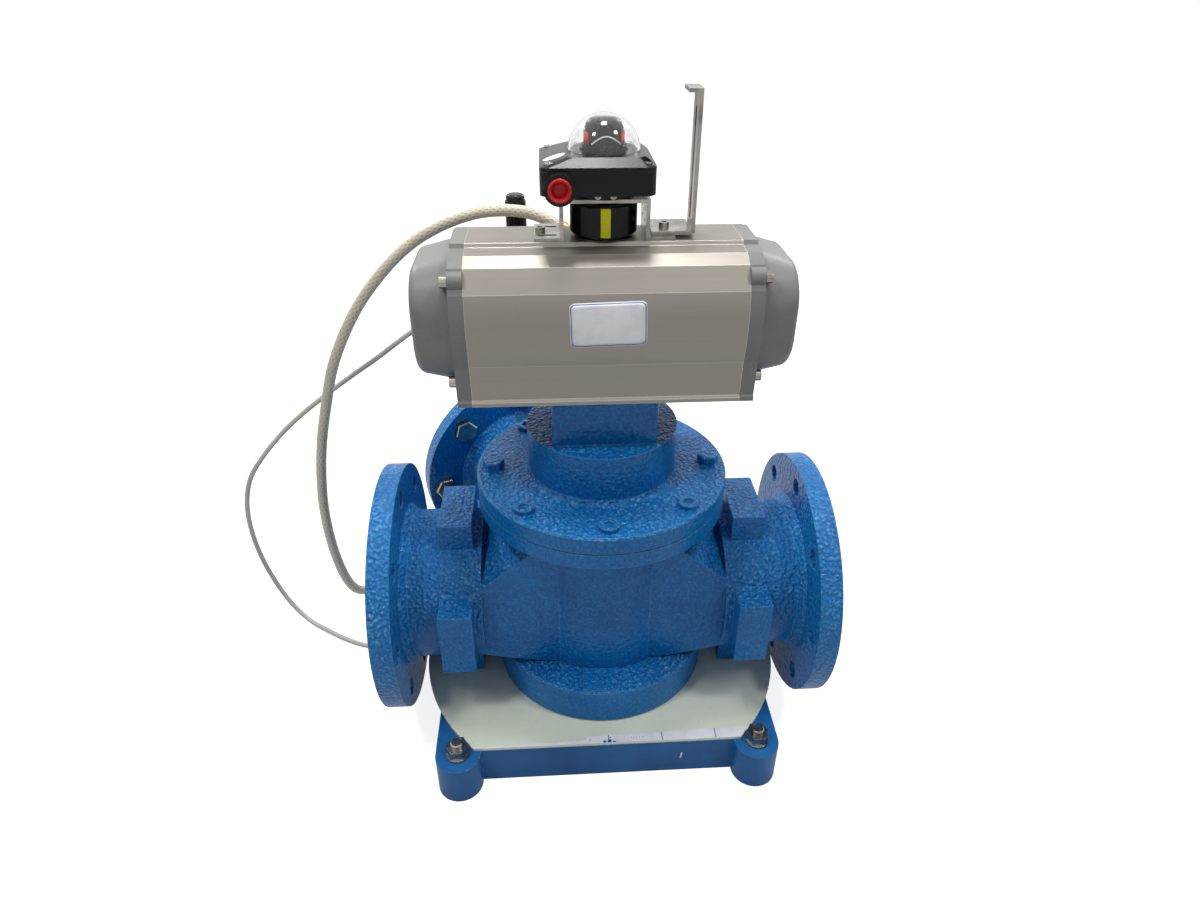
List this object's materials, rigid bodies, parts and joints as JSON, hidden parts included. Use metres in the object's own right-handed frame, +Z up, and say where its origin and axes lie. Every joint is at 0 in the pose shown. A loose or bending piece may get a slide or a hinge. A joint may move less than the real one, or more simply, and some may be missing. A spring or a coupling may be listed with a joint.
{
  "type": "diverter valve",
  "caption": "Flanged three-way diverter plug valve with a skewed branch, a rack-and-pinion pneumatic actuator, a limit-switch box and a service hose.",
  "frame": {"origin": "middle of the base underside, below the plug axis", "axes": "+X out of the right port, +Y to the back where the skewed branch is, +Z up along the plug axis"},
  "size_m": [0.619, 0.4783, 0.622],
  "materials": {
    "blue_paint": "hammered gloss enamel",
    "deck_paint": "satin enamel",
    "stainless": "satin stainless",
    "dark_steel": "black oxide",
    "machined_steel": "fine turned",
    "anodised_alloy": "brushed, clear anodised",
    "cast_alloy": "die cast",
    "cap_grey": "satin powder coat",
    "black_plastic": "moulded",
    "solenoid_alloy": "anodised",
    "clear_plastic": "clear moulded",
    "red_plastic": "moulded",
    "yellow_plastic": "moulded",
    "bronze": "machined",
    "polymer_bush": "machined",
    "seal_rubber": "moulded",
    "white_polymer": "machined",
    "green_board": "laminate",
    "brass_fitting": "machined",
    "cream_hose": "woven cover",
    "pale_cable": "smooth jacket"
  },
  "bodies": {
    "body": {"actuator_body": "anodised_alloy", "actuator_studs": "dark_steel", "air_hose": "cream_hose", "base_casting": "blue_paint", "base_nuts": "stainless", "base_plate": "deck_paint", "base_screws": "dark_steel", "base_studs": "stainless", "bonnet": "blue_paint", "bonnet_gasket": "seal_rubber", "bonnet_screws": "blue_paint", "bottom_cover": "blue_paint", "bottom_screws": "dark_steel", "bracket_screws": "stainless", "branch_bolts": "stainless", "cable_end": "black_plastic", "conduit_plug": "red_plastic", "end_cap_left": "cap_grey", "end_cap_right": "cap_grey", "end_cap_screws": "stainless", "end_cap_seals": "seal_rubber", "gland_nut": "machined_steel", "gland_packing": "white_polymer", "gland_ring": "machined_steel", "hose_end": "brass_fitting", "hose_fitting": "brass_fitting", "pinion_bushes": "polymer_bush", "pinion_washer": "dark_steel", "plug_bushes": "bronze", "seat_sleeve": "white_polymer", "side_bracket": "stainless", "signal_cable": "pale_cable", "silencer": "black_plastic", "solenoid_coil": "black_plastic", "solenoid_connector": "black_plastic", "solenoid_screws": "stainless", "solenoid_valve": "solenoid_alloy", "switch_board": "green_board", "switch_bracket": "stainless", "switch_dome": "clear_plastic", "switch_housing": "black_plastic", "switch_lid": "black_plastic", "switch_screws": "stainless", "thrust_washer": "bronze", "travel_stops": "stainless", "valve_body": "blue_paint"},
    "rotor": {"plug": "machined_steel", "stem": "machined_steel", "pinion": "machined_steel", "pinion_circlip": "dark_steel", "position_coupling": "black_plastic", "coupling_stripe": "yellow_plastic", "switch_shaft": "machined_steel", "indicator_drum": "black_plastic"},
    "left_piston": {"piston_left": "cast_alloy", "piston_seal_left": "seal_rubber"},
    "right_piston": {"piston_right": "cast_alloy", "piston_seal_right": "seal_rubber"},
    "button": {"override_button": "red_plastic"}
  },
  "joints": [
    {"name": "rotor_turn", "type": "hinge", "parent": "body", "child": "rotor", "pos_m": [0, 0, 0.144], "axis": [0, 0, 1], "range_deg": [0, 90]},
    {"name": "left_stroke", "type": "slide", "parent": "body", "child": "left_piston", "axis": [-1, 0, 0], "range_m": [0, 0.0378]},
    {"name": "right_stroke", "type": "slide", "parent": "body", "child": "right_piston", "axis": [1, 0, 0], "range_m": [0, 0.0378]},
    {"name": "override_press", "type": "slide", "parent": "body", "child": "button", "axis": [0, 0, -1], "range_m": [0, 0.002], "stiffness_N_per_m": 400}
  ],
  "couplings": [
    {"joint": "left_stroke", "follows": "rotor_turn", "m_per_rad": 0.024},
    {"joint": "right_stroke", "follows": "rotor_turn", "m_per_rad": 0.024}
  ]
}
